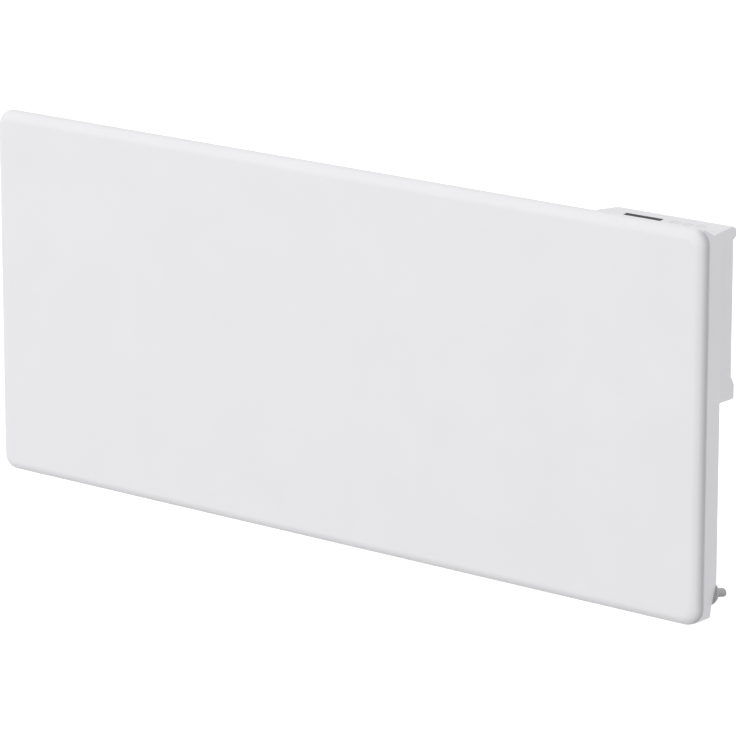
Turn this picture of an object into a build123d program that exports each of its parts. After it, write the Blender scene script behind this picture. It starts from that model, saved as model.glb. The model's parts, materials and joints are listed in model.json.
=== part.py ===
from build123d import *

import os
from math import atan2, cos, degrees, hypot, radians, sin, tan

# Wall panel convector heater, in millimetres.
# X runs along the wall to the right, Y from the room towards the wall, Z up.
# The origin is the middle of the four wall-screw holes, on the wall's surface.
# A depth is measured back from the panel's front face, a height up from the panel's
# lower edge, and depth_y and height_z turn them into Y and Z.

# ------------------------------------------------------------------ driving sizes

# Whole heater
panel_width = 862.0
panel_height = 370.0
overall_depth = 75.5
screw_centre_drop = 130.0

# Clearances
hang_gap = 0.3
rail_gap = 0.5
pin_gap = 0.05
thread_gap = 0.02
hole_gap = 0.25
lead_gap = 0.3

# Front panel
panel_sheet = 1.2
panel_corner_radius = 16.0
rim_depth = 20.0
rim_radius = 9.9
rim_return = 24.0

# Rear casing
casing_sheet = 1.0
casing_bend = 1.5
casing_side_inset = 15.0
casing_back_depth = 53.7
casing_floor_height = -2.0
casing_floor_back_depth = 44.6
bevel_foot_depth = 45.8
bevel_foot_height = 6.4
bevel_top_height = 30.0
shoulder_foot_drop = 19.6
shoulder_top_drop = 5.2
shoulder_top_depth = 26.0

# Air slots
slot_length = 38.0
slot_width = 3.4
slot_pitch = 43.0
slots_per_group = 4
slot_row_pitch = 5.5
floor_slot_rows = 3
bevel_slot_rows = 3
shoulder_slot_rows = 4

# Panel screws, in a row along the lower and the upper flange
panel_screw_end_inset = 51.0
panel_screw_count = 5
panel_screw_radius = 2.0
panel_screw_length = 7.0
panel_screw_inset = 15.5
access_hole_radius = 5.0

# Heating element
element_end_inset = 101.0
element_depth = 32.0
element_height = 92.0
element_core_radius = 6.5
element_arm_across = 13.0
element_arm_up = 24.0
element_fin = 2.0
tube_radius = 4.0
tube_stub = 35.0
terminal_radius = 1.5
terminal_length = 20.0
insulator_radius = 5.5
insulator_length = 8.0

# Element supports
support_gap = 15.0
support_sheet = 1.5
support_half_height = 26.0
support_reach = 14.0
support_foot = 16.0
bush_wall = 2.5
bush_length = 6.0

# Heat shield and its posts
shield_sheet = 0.6
shield_front_depth = 11.0
shield_end_inset = 121.0
shield_drop = 47.0
shield_rise = 103.0
shield_lip = 6.0
post_radius = 4.0
post_end_inset = 30.0
post_rises = (-32.0, 88.0)
post_screw_radius = 1.5
post_screw_length = 8.0

# Overheat cut-out
cutout_end_inset = 154.0
cutout_drop = 57.0
cutout_radius = 8.0
cutout_body = 9.0
cutout_plate_width = 28.0
cutout_plate_height = 22.0
cutout_plate_sheet = 1.0
cutout_foot = 8.0
blade_width = 6.3
blade_sheet = 0.8
blade_spacing = 9.0
blade_reach = 20.0

# Leads inside the casing
lead_radius = 1.2
lead_bend = 5.0
lead_depth = 46.6
lead_pitch = 9.0
lead_first = 4.2
link_depth = 38.0
live_drop = 17.0
link_rise = 8.0
return_drop = 43.0
side_run_inset = 25.0
connector_width = 8.0
connector_sheet = 4.0
connector_length = 15.0
clip_width = 8.0
clip_end_inset = 96.0
clip_box_gap = 32.0

# Room sensor and earth stud
sensor_depth = 30.0
sensor_radius = 2.0
sensor_length = 14.0
sensor_holder_width = 12.0
sensor_holder_height = 12.0
earth_drop = 67.0
earth_stud_radius = 2.0
earth_stud_length = 9.0
earth_nut_across = 7.0
earth_nut_height = 3.2
earth_tag_radius = 5.0
earth_tag_sheet = 0.8
earth_barrel_length = 9.0

# Control box
box_length = 140.5
box_height = 171.0
box_back_depth = 71.6
box_top_back_drop = 9.3
box_top_tilt = 6.4
box_wall = 2.0
box_edge = 1.6
box_end_across = 13.0
box_end_depth = 16.0
foot_width = 15.0
foot_left_offset = 16.0
lower_foot_bottom = 0.2
lower_foot_top = 13.5
lower_foot_root = 20.5
upper_foot_top = 3.3
upper_foot_bottom = 9.2
upper_foot_root = 12.2

# Electronics bay behind the casing's back
bay_end_inset = 12.0
bay_length = 106.0
bay_rise = 8.0
bay_height = 131.0
bay_reach = 20.7
bay_wall = 1.8
bay_flange = 6.0
bay_lower_flange = 5.0
bay_side_flange = 8.5
bay_flange_sheet = 2.0
pillar_radius = 3.0
pillar_rises = (30.0, 126.0)
flange_screw_rises = (15.0, 135.0)
box_screw_radius = 1.5
box_screw_length = 8.0

# Power board and what it carries
board_sheet = 1.6
board_standoff = 5.2
board_margin = 2.2
board_rise = 33.0
board_height = 91.0
board_hole_inset = 6.0
board_screw_radius = 1.2
board_screw_length = 5.0
header_height = 12.0
header_depth = 10.0
header_end = 5.0
supply_margin = 4.0
supply_length = 34.0
supply_width = 28.0
supply_height = 17.0
supply_rise = 44.0
relay_margin = 8.0
relay_length = 19.0
relay_width = 22.0
relay_height = 15.5
fuse_margin = 12.0
fuse_length = 22.0
fuse_rise = 28.0
fuse_radius = 2.6
fuse_cap = 5.0
fuse_cap_wall = 0.3
fuse_lift = 1.0
terminal_margin = 14.0
terminal_length_across = 42.0
terminal_rise = 5.0
terminal_block_height = 20.0
terminal_block_depth = 17.0
clamp_rise = 4.0
link_width = 13.0
link_sheet = 0.8
link_drop = 11.0
plug_depth = 5.0
plug_height = 3.5

# Display, keys and control board, on the box's sloping top
display_offset = 50.5
display_depth = 56.0
display_length = 42.0
display_width = 6.0
display_corner = 0.8
display_recess = 0.15
display_lip = 1.6
display_lip_sheet = 1.1
display_fit = 0.15
module_sheet = 3.4
key_gap = 15.0
key_pitch = 14.0
key_length = 9.0
key_width = 5.2
key_corner = 2.0
key_edge = 0.4
key_side_gap = 0.25
key_lip = 0.9
key_lip_sheet = 1.0
key_rest_gap = 0.1
key_travel = 0.6
key_stem_radius = 1.3
key_stem_length = 0.8
switch_size = 4.0
control_board_length = 106.0
control_board_width = 13.0
control_board_front = 1.6
boss_radius = 2.4
boss_spacing = 97.0
boss_setback = 8.5

# Power switch, in the box's floor
switch_end_inset = 36.0
switch_depth = 62.4
switch_length = 19.0
switch_width = 12.0
switch_height = 18.0
switch_wall = 1.2
bezel_rim = 1.0
bezel_sheet = 1.4
rocker_side_gap = 0.3
rocker_rise = 4.5
rocker_drop = 1.6
rocker_tilt = 8.0
rocker_pin_radius = 1.0
rocker_pin_reach = 0.8
rocker_pin_height = 4.0

# Cable inlet, in the box's floor
inlet_spacing = 50.0
inlet_depth = 62.3
inlet_bore_radius = 4.0
inlet_neck_radius = 5.8
inlet_flange_radius = 7.0
inlet_inner_radius = 6.3
inlet_flange_sheet = 2.5
inlet_inner_length = 3.0

# Wall rails
rail_spacing = 420.0
rail_width = 36.0
rail_sheet = 2.0
rail_foot_drop = 120.0
rail_top_rise = 98.0
cheek_clearance = 18.0
wall_hole_spacing = 150.0
wall_hole_radius = 3.0
hook_rises = (-90.0, 50.0)
hook_neck = 10.0
hook_rise = 9.0
hook_finger = 4.0
hook_side_gap = 0.9
hook_slot_height = 24.0
crossbar_height = 24.0
crossbar_overlap = 26.0
crossbar_rivet_radius = 2.0
rivet_head_height = 1.2

# Locks on the rails and the tabs that they hold down
lock_pivot_rise = 86.0
lock_sheet = 4.0
lock_front_depth = 63.0
lock_hub_radius = 6.0
lock_arm = 22.0
lock_handle = 19.0
lock_arm_width = 8.0
lock_pin_radius = 2.5
lock_collar_radius = 4.0
lock_head_radius = 5.0
lock_head_sheet = 1.3
lock_side_gap = 0.2
tab_width = 16.0
tab_overlap = 3.5
tab_gap = 0.5
tab_sheet = 1.5
tab_foot = 12.0

# Wall spacers at the lower corners
spacer_inset = 23.0
spacer_height = 18.8
spacer_disc_radius = 11.5
spacer_disc_sheet = 3.0
spacer_peg_radius = 4.2
spacer_tip_height = 13.5
spacer_shank_radius = 2.2
spacer_barb_radius = 2.7
spacer_barb_length = 3.0

# ------------------------------------------------------------------ derived places

screw_centre_height = panel_height - screw_centre_drop
casing_half_width = panel_width / 2 - casing_side_inset
back_inner_depth = casing_back_depth - casing_sheet
flange_half_opening = panel_width / 2 - rim_return
shoulder_foot = (casing_back_depth, panel_height - shoulder_foot_drop)
shoulder_top = (shoulder_top_depth, panel_height - shoulder_top_drop)
bevel_foot = (bevel_foot_depth, bevel_foot_height)
bevel_top = (casing_back_depth, bevel_top_height)
panel_screw_pitch = (panel_width - 2 * panel_screw_end_inset) / (panel_screw_count - 1)
group_centres = [panel_screw_pitch * (i - (panel_screw_count - 2) / 2) for i in range(panel_screw_count - 1)]
screw_columns = [panel_screw_pitch * (i - (panel_screw_count - 1) / 2) for i in range(panel_screw_count)]
screw_rows = (panel_screw_inset, panel_height - panel_screw_inset)
element_half = panel_width / 2 - element_end_inset
support_across = element_half + support_gap
support_spots = [
    (side * (support_across + support_foot / 2), element_height + lift * support_half_height / 2)
    for side in (-1, 1)
    for lift in (-1, 1)
]
box_right = casing_half_width
box_left = box_right - box_length
box_bottom_height = panel_height - box_height
# No screw goes where the control box would cover its access hole
panel_screw_places = [
    (x, row) for x in screw_columns for row in screw_rows if x < box_left or row < box_bottom_height
]
bay_right = box_right - bay_end_inset
bay_left = bay_right - bay_length
bay_bottom_height = box_bottom_height + bay_rise
bay_top_height = bay_bottom_height + bay_height
cutout_across = casing_half_width - cutout_end_inset
cutout_height = bay_bottom_height - cutout_drop
cutout_reach = (cutout_plate_width + cutout_foot) / 2
cutout_spots = [
    (cutout_across + side * cutout_reach, cutout_height + lift * cutout_plate_height / 4)
    for side in (-1, 1)
    for lift in (-1, 1)
]
shield_back_depth = shield_front_depth + shield_sheet
shield_half = panel_width / 2 - shield_end_inset
shield_bottom_height = element_height - shield_drop
shield_top_height = element_height + shield_rise
post_columns = [share * (shield_half - post_end_inset) for share in (-1, 0, 1)]
post_spots = [(x, element_height + rise) for x in post_columns for rise in post_rises]
terminal_half = element_half + tube_stub
terminal_tip = terminal_half + terminal_length
rail_edge_depth = casing_back_depth + rail_gap
rail_web_depth = overall_depth - rail_sheet
rail_foot_height = screw_centre_height - rail_foot_drop
rail_top_height = screw_centre_height + rail_top_rise
hook_heights = [screw_centre_height + rise for rise in hook_rises]
lock_pivot_height = screw_centre_height + lock_pivot_rise
cheek_top_height = lock_pivot_height - cheek_clearance
tab_top_height = lock_pivot_height - lock_arm - tab_gap
box_top_back_height = panel_height - box_top_back_drop
bay_front_depth = casing_back_depth - bay_reach
bay_floor_depth = bay_front_depth + bay_wall
board_depth = bay_floor_depth + board_standoff
flange_back_depth = casing_back_depth + bay_flange_sheet
box_inner_depth = box_back_depth - box_wall
lead_columns = [bay_right - bay_wall - lead_first - lead_pitch * i for i in range(4)]
pillar_columns = (bay_left - bay_side_flange / 2, bay_right + bay_side_flange / 2)
pillar_spots = [(x, box_bottom_height + rise) for x in pillar_columns for rise in pillar_rises]
flange_spots = [(x, box_bottom_height + rise) for x in pillar_columns for rise in flange_screw_rises]
board_end = (control_board_length - boss_spacing) / 2
board_left = bay_left + bay_wall + board_margin
board_right = bay_right - bay_wall - board_margin
board_bottom_height = bay_bottom_height + board_rise
board_top_height = board_bottom_height + board_height
board_spots = [
    (x, row)
    for x in (board_left + board_hole_inset, board_right - board_hole_inset)
    for row in (board_bottom_height + header_height + board_hole_inset, board_top_height - board_hole_inset)
]


def depth_y(depth):
    return depth - overall_depth


def height_z(height):
    return height - screw_centre_height


def spot(across, depth, height):
    """A point from its place across, its depth and its height."""
    return (across, depth_y(depth), height_z(height))


def section(depth, height):
    """A point of a side view, for a sketch on a plane square to X."""
    return (depth_y(depth), height_z(height))


def at_depth(depth):
    """A plane parallel to the wall that faces the room."""
    return Plane.XZ.offset(-depth_y(depth))


def sloping_plane(low, high):
    """A plane on the sloping face between two points of the side view, facing outwards."""
    middle = spot(0, (low[0] + high[0]) / 2, (low[1] + high[1]) / 2)
    return Plane(origin=middle, x_dir=(1, 0, 0), z_dir=(0, high[1] - low[1], low[0] - high[0]))


def block(left, right, front, back, bottom, top, mode=Mode.ADD):
    """A box between two places across, two depths and two heights."""
    with Locations(spot((left + right) / 2, (front + back) / 2, (bottom + top) / 2)):
        Box(right - left, back - front, top - bottom, mode=mode)


def rod(across, height, front, back, radius, mode=Mode.ADD):
    """A round bar square to the wall."""
    with Locations(spot(across, (front + back) / 2, height)):
        Cylinder(radius, back - front, rotation=(90, 0, 0), mode=mode)


def cross_rod(left, right, depth, height, radius, mode=Mode.ADD):
    """A round bar along the heater."""
    with Locations(spot((left + right) / 2, depth, height)):
        Cylinder(radius, right - left, rotation=(0, 90, 0), mode=mode)


def upright_rod(across, depth, bottom, top, radius, mode=Mode.ADD):
    """A standing round bar."""
    with Locations(spot(across, depth, (bottom + top) / 2)):
        Cylinder(radius, top - bottom, mode=mode)


def rods(places, front, back, radius, mode=Mode.ADD):
    """Round bars square to the wall, at several places across and up."""
    with Locations(*[spot(across, (front + back) / 2, height) for across, height in places]):
        Cylinder(radius, back - front, rotation=(90, 0, 0), mode=mode)


def pan_screws(places, seat, length, radius, from_wall_side=True):
    """Pan-head screws with a cross recess, their heads on the wall side or the room side of the seat."""
    side = 1 if from_wall_side else -1
    head = 1.2 * radius
    crown = seat + side * head
    tip = seat - side * length
    recess = seat + side * 0.45 * head
    rods(places, min(seat, crown), max(seat, crown), 1.8 * radius)
    rods(places, min(seat, tip), max(seat, tip), radius)
    for width, height in ((2.2 * radius, 0.4 * radius), (0.4 * radius, 2.2 * radius)):
        with Locations(*[spot(x, (recess + crown) / 2, z) for x, z in places]):
            Box(width, abs(crown - recess), height, mode=Mode.SUBTRACT)


def save(name, label):
    """Label a finished piece and write it to its own file."""
    name.part.label = label
    export_step(name.part, f"parts/{label}.step")


def shoulder_at(depth):
    """Height of the casing's sloping shoulder at a depth."""
    fall = (shoulder_top[1] - shoulder_foot[1]) / (shoulder_foot[0] - shoulder_top[0])
    return shoulder_top[1] - (depth - shoulder_top[0]) * fall


def box_top_at(depth, below=0.0):
    """Height of the control box's sloping top at a depth, or of a face parallel to it below."""
    slope = radians(box_top_tilt)
    return box_top_back_height - (box_back_depth - depth) * tan(slope) - below / cos(slope)


def box_front_at(below):
    """Depth where the box's top, or a face parallel to it below, meets the casing's shoulder."""
    fall = (shoulder_top[1] - shoulder_foot[1]) / (shoulder_foot[0] - shoulder_top[0])
    rise = tan(radians(box_top_tilt))
    gap_at_back = shoulder_at(box_back_depth) - box_top_at(box_back_depth, below)
    return box_back_depth + gap_at_back / (fall + rise)


box_top_plane = Plane(
    origin=spot(0, display_depth, box_top_at(display_depth)),
    x_dir=(1, 0, 0),
    z_dir=(0, -sin(radians(box_top_tilt)), cos(radians(box_top_tilt))),
)

os.makedirs("parts", exist_ok=True)

# ------------------------------------------------------------------ front panel


def rounded_panel(inset):
    """The panel's full form with its bullnose rim, drawn in by inset on every side."""
    with BuildPart() as form:
        with BuildSketch(at_depth(rim_depth - inset)):
            with Locations((0, height_z(panel_height / 2))):
                RectangleRounded(
                    panel_width - 2 * inset, panel_height - 2 * inset, panel_corner_radius - inset
                )
        extrude(amount=rim_depth - 2 * inset)
        fillet(form.faces().filter_by(Axis.Y).edges(), radius=rim_radius - inset)
    return form.part


with BuildPart() as front_panel:
    add(rounded_panel(0))
    add(rounded_panel(panel_sheet), mode=Mode.SUBTRACT)
    block(-flange_half_opening, flange_half_opening, rim_depth - 2 * panel_sheet, rim_depth + panel_sheet,
          rim_return, panel_height - rim_return, mode=Mode.SUBTRACT)
    rods(panel_screw_places, rim_depth - 2 * panel_sheet, rim_depth + panel_sheet,
         panel_screw_radius + thread_gap, mode=Mode.SUBTRACT)
save(front_panel, "front_panel")

# ------------------------------------------------------------------ rear casing

casing_outline = [
    (rim_depth, casing_floor_height),
    (casing_floor_back_depth, casing_floor_height),
    bevel_foot,
    bevel_top,
    shoulder_foot,
    shoulder_top,
    (rim_depth, shoulder_top[1]),
]
bevel_plane = sloping_plane(bevel_foot, bevel_top)
shoulder_plane = sloping_plane(shoulder_foot, shoulder_top)
slot_places = [slot_pitch * (i - (slots_per_group - 1) / 2) for i in range(slots_per_group)]
slot_columns = [centre + place for centre in group_centres for place in slot_places]
spacer_columns = [side * (panel_width / 2 - spacer_inset) for side in (-1, 1)]
open_columns = [x for x in slot_columns if x + slot_length / 2 < box_left]
floor_slot_depth = (rim_depth + casing_floor_back_depth) / 2
hook_slot_places = [
    (side * rail_spacing / 2 + cheek * (rail_width - rail_sheet) / 2, height_z(top - hook_slot_height / 2))
    for side in (-1, 1)
    for cheek in (-1, 1)
    for top in hook_heights
]
spacer_depth = bevel_foot[0] + (spacer_height - bevel_foot[1]) * (
    (bevel_top[0] - bevel_foot[0]) / (bevel_top[1] - bevel_foot[1])
)
spacer_seat = Plane(
    origin=spot(0, spacer_depth, spacer_height), x_dir=(1, 0, 0), z_dir=bevel_plane.z_dir
)


def row_offsets(count):
    """Places of a number of slot rows about their middle."""
    return [slot_row_pitch * (i - (count - 1) / 2) for i in range(count)]


floor_slot_y = [depth_y(floor_slot_depth) + y for y in row_offsets(floor_slot_rows)]

with BuildPart() as rear_casing:
    with BuildSketch(Plane.YZ.offset(-casing_half_width)):
        with BuildLine():
            Polyline(*[section(*point) for point in casing_outline], close=True)
        make_face()
    extrude(amount=2 * casing_half_width)
    long_edges = rear_casing.edges().filter_by(Axis.X)
    bends = long_edges.filter_by(lambda edge: edge.center().Y > depth_y(rim_depth + 1))
    fillet(bends, radius=casing_bend)
    with BuildSketch(Plane.YZ.offset(casing_sheet - casing_half_width)):
        with BuildLine():
            Polyline(*[section(*point) for point in casing_outline], close=True)
        make_face()
        offset(amount=-casing_sheet, kind=Kind.INTERSECTION)
    extrude(amount=2 * (casing_half_width - casing_sheet), mode=Mode.SUBTRACT)
    # The turned-in front flange is open in the middle and carries the panel's screws.
    block(-flange_half_opening, flange_half_opening, rim_depth - casing_sheet, rim_depth + 2 * casing_sheet,
          rim_return, panel_height - rim_return, mode=Mode.SUBTRACT)
    rods(panel_screw_places, rim_depth - casing_sheet, rim_depth + 2 * casing_sheet,
         panel_screw_radius + hole_gap, mode=Mode.SUBTRACT)
    rods(panel_screw_places, rim_depth + 4 * casing_sheet, casing_back_depth + casing_sheet,
         access_hole_radius, mode=Mode.SUBTRACT)
    # Cut-out for the electronics bay
    block(bay_left - hole_gap, bay_right + hole_gap, back_inner_depth - casing_sheet,
          casing_back_depth + casing_sheet, bay_bottom_height - hole_gap, bay_top_height + hole_gap,
          mode=Mode.SUBTRACT)
    # Holes for what is screwed to the back, and for the wall spacers
    rods(post_spots + support_spots + cutout_spots, back_inner_depth - casing_sheet,
         casing_back_depth + casing_sheet, post_screw_radius + hole_gap, mode=Mode.SUBTRACT)
    rods(flange_spots, back_inner_depth - casing_sheet, casing_back_depth + casing_sheet,
         box_screw_radius + thread_gap, mode=Mode.SUBTRACT)
    with Locations(*[spacer_seat * Location((x, 0, 0)) for x in spacer_columns]):
        Cylinder(spacer_shank_radius + pin_gap, 4 * casing_sheet, mode=Mode.SUBTRACT)
    # Slots for the rails' hooks
    with BuildSketch(at_depth(casing_back_depth + casing_sheet)):
        with Locations(*hook_slot_places):
            Rectangle(rail_sheet + 2 * hook_side_gap, hook_slot_height)
    extrude(amount=3 * casing_sheet, mode=Mode.SUBTRACT)
    # Air comes in through the floor and the bevel and leaves through the shoulder.
    with BuildSketch(Plane.XY.offset(height_z(casing_floor_height - casing_sheet))):
        with Locations(*[(x, y) for x in slot_columns for y in floor_slot_y]):
            SlotOverall(slot_length, slot_width)
    extrude(amount=3 * casing_sheet, mode=Mode.SUBTRACT)
    with BuildSketch(bevel_plane.offset(casing_sheet)):
        with Locations(*[(x, y) for x in slot_columns for y in row_offsets(bevel_slot_rows)]):
            SlotOverall(slot_length, slot_width)
    extrude(amount=-3 * casing_sheet, mode=Mode.SUBTRACT)
    with BuildSketch(shoulder_plane.offset(casing_sheet)):
        with Locations(*[(x, y) for x in open_columns for y in row_offsets(shoulder_slot_rows)]):
            SlotOverall(slot_length, slot_width)
    extrude(amount=-3 * casing_sheet, mode=Mode.SUBTRACT)
save(rear_casing, "rear_casing")

with BuildPart() as panel_screws:
    pan_screws(panel_screw_places, rim_depth + casing_sheet, panel_screw_length, panel_screw_radius)
save(panel_screws, "panel_screws")

# ------------------------------------------------------------------ heating element

arm_length = hypot(element_arm_across, element_arm_up)
arm_tilt = degrees(atan2(element_arm_up, element_arm_across))

with BuildPart() as element_body:
    with BuildSketch(Plane.YZ.offset(-element_half)):
        with Locations(section(element_depth, element_height)):
            Circle(element_core_radius)
            Rectangle(2 * element_arm_across, element_fin)
            for tilt in (arm_tilt, -arm_tilt):
                Rectangle(2 * arm_length, element_fin, rotation=tilt)
            for up in (-1, 1):
                for back in (-1, 1):
                    for share in (0.5, 1.0):
                        with Locations((share * back * element_arm_across, share * up * element_arm_up)):
                            Rectangle(share * element_arm_across, 0.75 * element_fin)
            Circle(tube_radius + thread_gap, mode=Mode.SUBTRACT)
    extrude(amount=2 * element_half)
save(element_body, "element_body")

with BuildPart() as element_tube:
    cross_rod(-terminal_half, terminal_half, element_depth, element_height, tube_radius)
    for side in (-1, 1):
        inner = side * (terminal_half - insulator_length)
        cross_rod(min(inner, side * (terminal_half + 1)), max(inner, side * (terminal_half + 1)),
                  element_depth, element_height, terminal_radius + thread_gap, mode=Mode.SUBTRACT)
save(element_tube, "element_tube")

with BuildPart() as terminal_insulators:
    for side in (-1, 1):
        near, far = sorted((side * terminal_half, side * (terminal_half + insulator_length / 2)))
        cross_rod(near, far, element_depth, element_height, insulator_radius)
        cross_rod(near, far, element_depth, element_height, terminal_radius + thread_gap, mode=Mode.SUBTRACT)
save(terminal_insulators, "terminal_insulators")

with BuildPart() as terminal_pins:
    for side in (-1, 1):
        near, far = sorted((side * (terminal_half - insulator_length), side * terminal_tip))
        cross_rod(near, far, element_depth, element_height, terminal_radius)
save(terminal_pins, "terminal_pins")


def element_support(side):
    """The sheet-metal bracket at one end of the element, with its foot on the casing's back."""
    plate = side * support_across
    toe = side * (support_across + support_foot)
    with BuildPart() as support:
        block(plate - support_sheet / 2, plate + support_sheet / 2, element_depth - support_reach,
              back_inner_depth, element_height - support_half_height, element_height + support_half_height)
        block(min(plate, toe), max(plate, toe), back_inner_depth - support_sheet, back_inner_depth,
              element_height - support_half_height, element_height + support_half_height)
        cross_rod(plate - support_sheet, plate + support_sheet, element_depth, element_height,
                  tube_radius + bush_wall, mode=Mode.SUBTRACT)
        rods(support_spots, back_inner_depth - 2 * support_sheet, back_inner_depth + support_sheet,
             post_screw_radius + thread_gap, mode=Mode.SUBTRACT)
    return support


for side, label in ((-1, "element_support_left"), (1, "element_support_right")):
    save(element_support(side), label)

with BuildPart() as element_bushes:
    for side in (-1, 1):
        middle = side * support_across
        cross_rod(middle - bush_length / 2, middle + bush_length / 2, element_depth, element_height,
                  tube_radius + bush_wall - thread_gap)
        for cheek in (-1, 1):
            near, far = sorted((middle + cheek * support_sheet / 2, middle + cheek * bush_length / 2))
            cross_rod(near, far, element_depth, element_height, tube_radius + 2 * bush_wall)
        cross_rod(middle - bush_length, middle + bush_length, element_depth, element_height,
                  tube_radius + thread_gap, mode=Mode.SUBTRACT)
save(element_bushes, "element_bushes")

# ------------------------------------------------------------------ heat shield

with BuildPart() as heat_shield:
    block(-shield_half, shield_half, shield_front_depth, shield_back_depth,
          shield_bottom_height, shield_top_height)
    block(-shield_half, shield_half, shield_front_depth, shield_front_depth + shield_lip,
          shield_top_height - shield_sheet, shield_top_height)
    block(-shield_half, shield_half, shield_front_depth, shield_front_depth + shield_lip,
          shield_bottom_height, shield_bottom_height + shield_sheet)
    rods(post_spots, shield_front_depth - shield_sheet, shield_back_depth + shield_sheet,
         post_screw_radius + hole_gap, mode=Mode.SUBTRACT)
save(heat_shield, "heat_shield")

with BuildPart() as shield_posts:
    rods(post_spots, shield_back_depth, back_inner_depth, post_radius)
    for front in (shield_back_depth, back_inner_depth - post_screw_length):
        rods(post_spots, front, front + post_screw_length, post_screw_radius + thread_gap, mode=Mode.SUBTRACT)
save(shield_posts, "shield_posts")

with BuildPart() as post_screws:
    pan_screws(post_spots, casing_back_depth, post_screw_length, post_screw_radius)
    pan_screws(post_spots, shield_front_depth, post_screw_length, post_screw_radius, from_wall_side=False)
save(post_screws, "post_screws")

# ------------------------------------------------------------------ overheat cut-out

blade_depth = lead_depth
blade_spots = [cutout_across + side * blade_spacing / 2 for side in (-1, 1)]
plate_back_depth = blade_depth - 4 * blade_sheet
plate_front_depth = plate_back_depth - cutout_plate_sheet
blade_top_height = cutout_height + blade_reach
cutout_base_half = (blade_spacing + blade_width) / 2 + 1.0

with BuildPart() as cutout_bracket:
    block(cutout_across - cutout_plate_width / 2, cutout_across + cutout_plate_width / 2, plate_front_depth,
          plate_back_depth, cutout_height - cutout_plate_height / 2, cutout_height + cutout_plate_height / 2)
    for side in (-1, 1):
        leg = cutout_across + side * (cutout_plate_width - cutout_plate_sheet) / 2
        block(leg - cutout_plate_sheet / 2, leg + cutout_plate_sheet / 2, plate_front_depth, back_inner_depth,
              cutout_height - cutout_plate_height / 2, cutout_height + cutout_plate_height / 2)
        near, far = sorted((leg, cutout_across + side * (cutout_plate_width / 2 + cutout_foot)))
        block(near, far, back_inner_depth - cutout_plate_sheet, back_inner_depth,
              cutout_height - cutout_plate_height / 2, cutout_height + cutout_plate_height / 2)
    rods(cutout_spots, back_inner_depth - 2 * cutout_plate_sheet, back_inner_depth + cutout_plate_sheet,
         post_screw_radius + thread_gap, mode=Mode.SUBTRACT)
    block(cutout_across - cutout_base_half - hole_gap, cutout_across + cutout_base_half + hole_gap,
          plate_front_depth - cutout_plate_sheet, plate_back_depth + cutout_plate_sheet,
          cutout_height - blade_width / 2 - hole_gap, cutout_height + blade_width / 2 + hole_gap,
          mode=Mode.SUBTRACT)
save(cutout_bracket, "cutout_bracket")

with BuildPart() as overheat_cutout:
    rod(cutout_across, cutout_height, plate_front_depth - cutout_body, plate_front_depth - 1.5, cutout_radius)
    rod(cutout_across, cutout_height, plate_front_depth - 1.5, plate_front_depth, cutout_radius + 2)
    block(cutout_across - cutout_base_half, cutout_across + cutout_base_half, plate_front_depth - 1,
          blade_depth + blade_sheet / 2, cutout_height - blade_width / 2, cutout_height + blade_width / 2)
    for across in blade_spots:
        block(across - blade_width / 2, across + blade_width / 2, blade_depth - blade_sheet / 2,
              blade_depth + blade_sheet / 2, cutout_height, blade_top_height)
save(overheat_cutout, "overheat_cutout")

with BuildPart() as bracket_screws:
    pan_screws(support_spots + cutout_spots, casing_back_depth, post_screw_length / 2, post_screw_radius)
save(bracket_screws, "bracket_screws")

# ------------------------------------------------------------------ leads inside the casing

sensor_column, earth_column, return_column, live_column = lead_columns
connector_bottom_height = blade_top_height - connector_length / 2
connector_top_height = connector_bottom_height + connector_length
pin_connector_start = terminal_tip - connector_length / 2
pin_connector_end = pin_connector_start + connector_length
side_run_across = panel_width / 2 - side_run_inset

with BuildPart() as lead_connectors:
    for across in blade_spots:
        block(across - connector_width / 2, across + connector_width / 2, blade_depth - connector_sheet / 2,
              blade_depth + connector_sheet / 2, connector_bottom_height, connector_top_height)
        block(across - blade_width / 2 - thread_gap, across + blade_width / 2 + thread_gap,
              blade_depth - blade_sheet / 2 - thread_gap, blade_depth + blade_sheet / 2 + thread_gap,
              connector_bottom_height - 1, blade_top_height + thread_gap, mode=Mode.SUBTRACT)
    for side in (-1, 1):
        near, far = sorted((side * pin_connector_start, side * pin_connector_end))
        cross_rod(near, far, element_depth, element_height, connector_width / 2)
        near, far = sorted((side * (pin_connector_start - 1), side * (terminal_tip + thread_gap)))
        cross_rod(near, far, element_depth, element_height, terminal_radius + thread_gap, mode=Mode.SUBTRACT)
save(lead_connectors, "lead_connectors")

header_bottom_height = board_bottom_height
live_height = bay_bottom_height - live_drop
link_height = live_height + link_rise
return_height = element_height - return_drop
earth_height = bay_bottom_height - earth_drop
clip_positions = (clip_end_inset - casing_half_width, 0, box_left - clip_box_gap)
live_route = [
    (live_column, lead_depth, header_bottom_height),
    (live_column, lead_depth, live_height),
    (blade_spots[1], lead_depth, live_height),
    (blade_spots[1], lead_depth, connector_top_height),
]
link_route = [
    (blade_spots[0], lead_depth, connector_top_height),
    (blade_spots[0], lead_depth, link_height - connector_width),
    (blade_spots[0], link_depth, link_height),
    (side_run_across, link_depth, link_height),
    (side_run_across, element_depth, element_height + support_half_height),
    (side_run_across, element_depth, element_height),
    (pin_connector_end, element_depth, element_height),
]
return_route = [
    (return_column, lead_depth, header_bottom_height),
    (return_column, lead_depth, return_height),
    (-side_run_across, lead_depth, return_height),
    (-side_run_across, element_depth, element_height - support_half_height / 2),
    (-side_run_across, element_depth, element_height),
    (-pin_connector_end, element_depth, element_height),
]
earth_lead_depth = back_inner_depth - lead_radius - earth_tag_sheet
earth_route = [
    (earth_column, lead_depth, header_bottom_height),
    (earth_column, lead_depth, earth_height + 3 * earth_barrel_length),
    (earth_column, earth_lead_depth, earth_height + 2 * earth_barrel_length),
    (earth_column, earth_lead_depth, earth_height + 1.5 * earth_barrel_length),
]
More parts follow.
